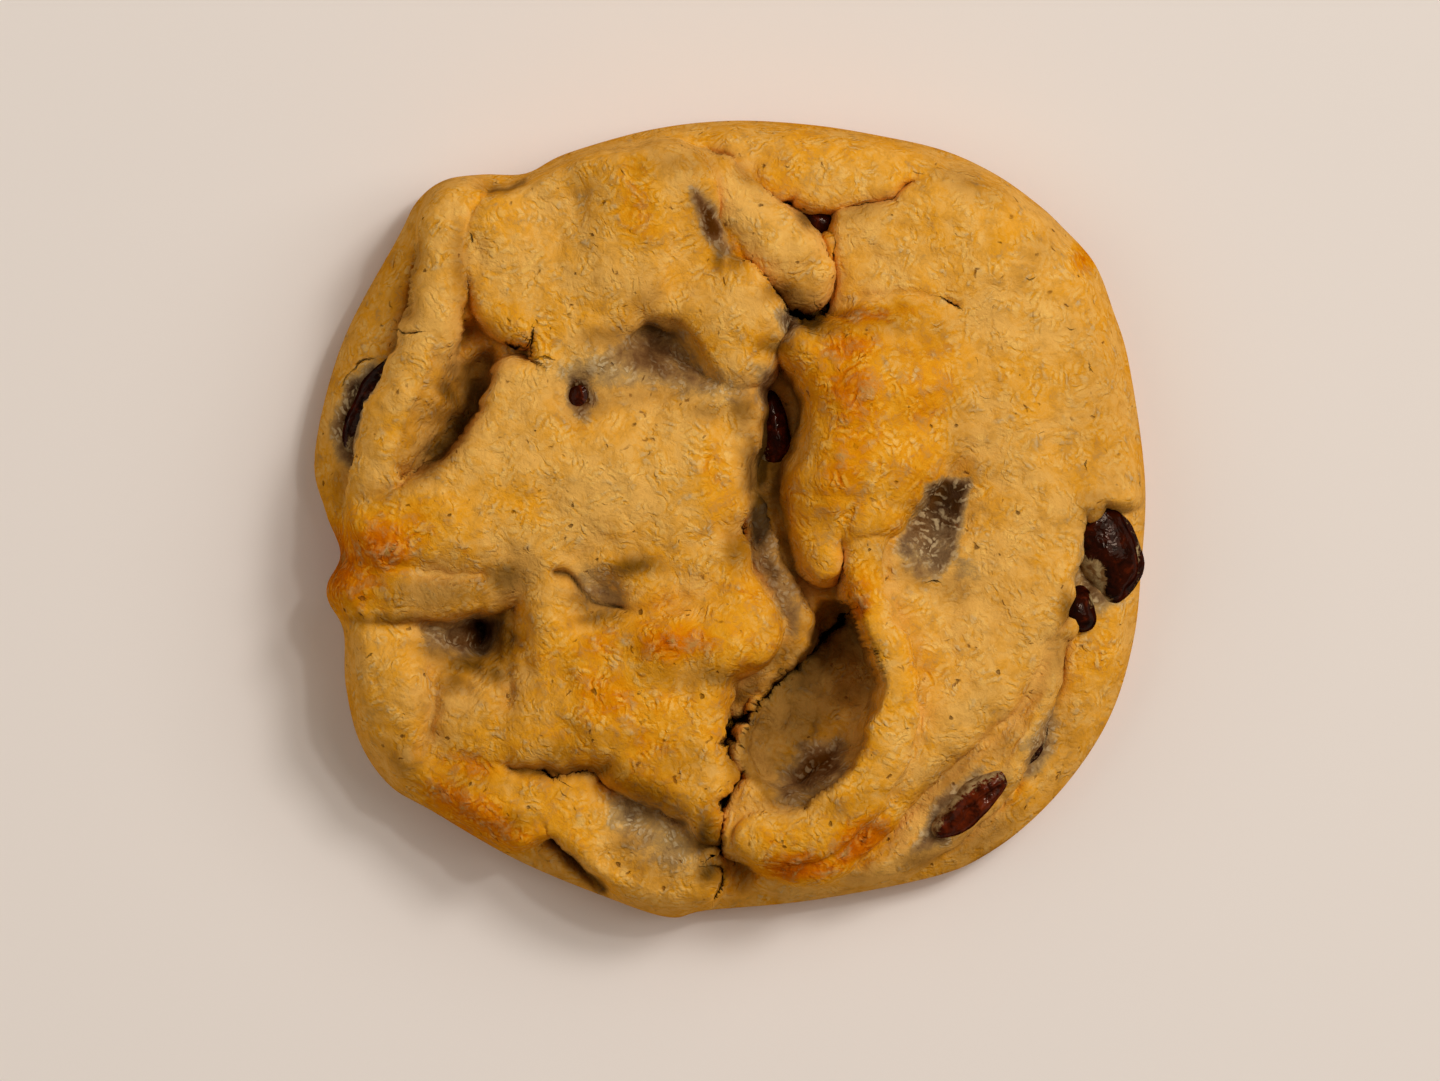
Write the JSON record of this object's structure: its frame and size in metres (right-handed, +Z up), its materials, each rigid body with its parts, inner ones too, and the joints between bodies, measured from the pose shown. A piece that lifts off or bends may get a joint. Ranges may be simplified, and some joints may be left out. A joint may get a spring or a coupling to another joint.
{
  "type": "chocolate chip cookie",
  "caption": "Thick round butter cookie with folded, cracked dough and chocolate chips half sunk into its top and flanks, flat underneath.",
  "frame": {"origin": "centre of the bounding box's bottom face, on the surface that the cookie lies on", "axes": "+Z up out of the folded top; +X to the right and +Y to the back as the picture shows it from above"},
  "size_m": [0.0836, 0.0802, 0.0204],
  "materials": {
    "baked_dough": "baked butter dough, golden, finely wrinkled, with a dull oily sheen",
    "chocolate": "dark semi-sweet chocolate, smooth, softly glossy"
  },
  "bodies": {
    "root": {"dough": "baked_dough", "chip_right": "chocolate", "chip_right_low": "chocolate", "chip_front_right": "chocolate", "chip_front_small": "chocolate", "chip_crevice": "chocolate", "chip_back": "chocolate", "chip_left": "chocolate", "chip_middle": "chocolate"}
  },
  "joints": []
}
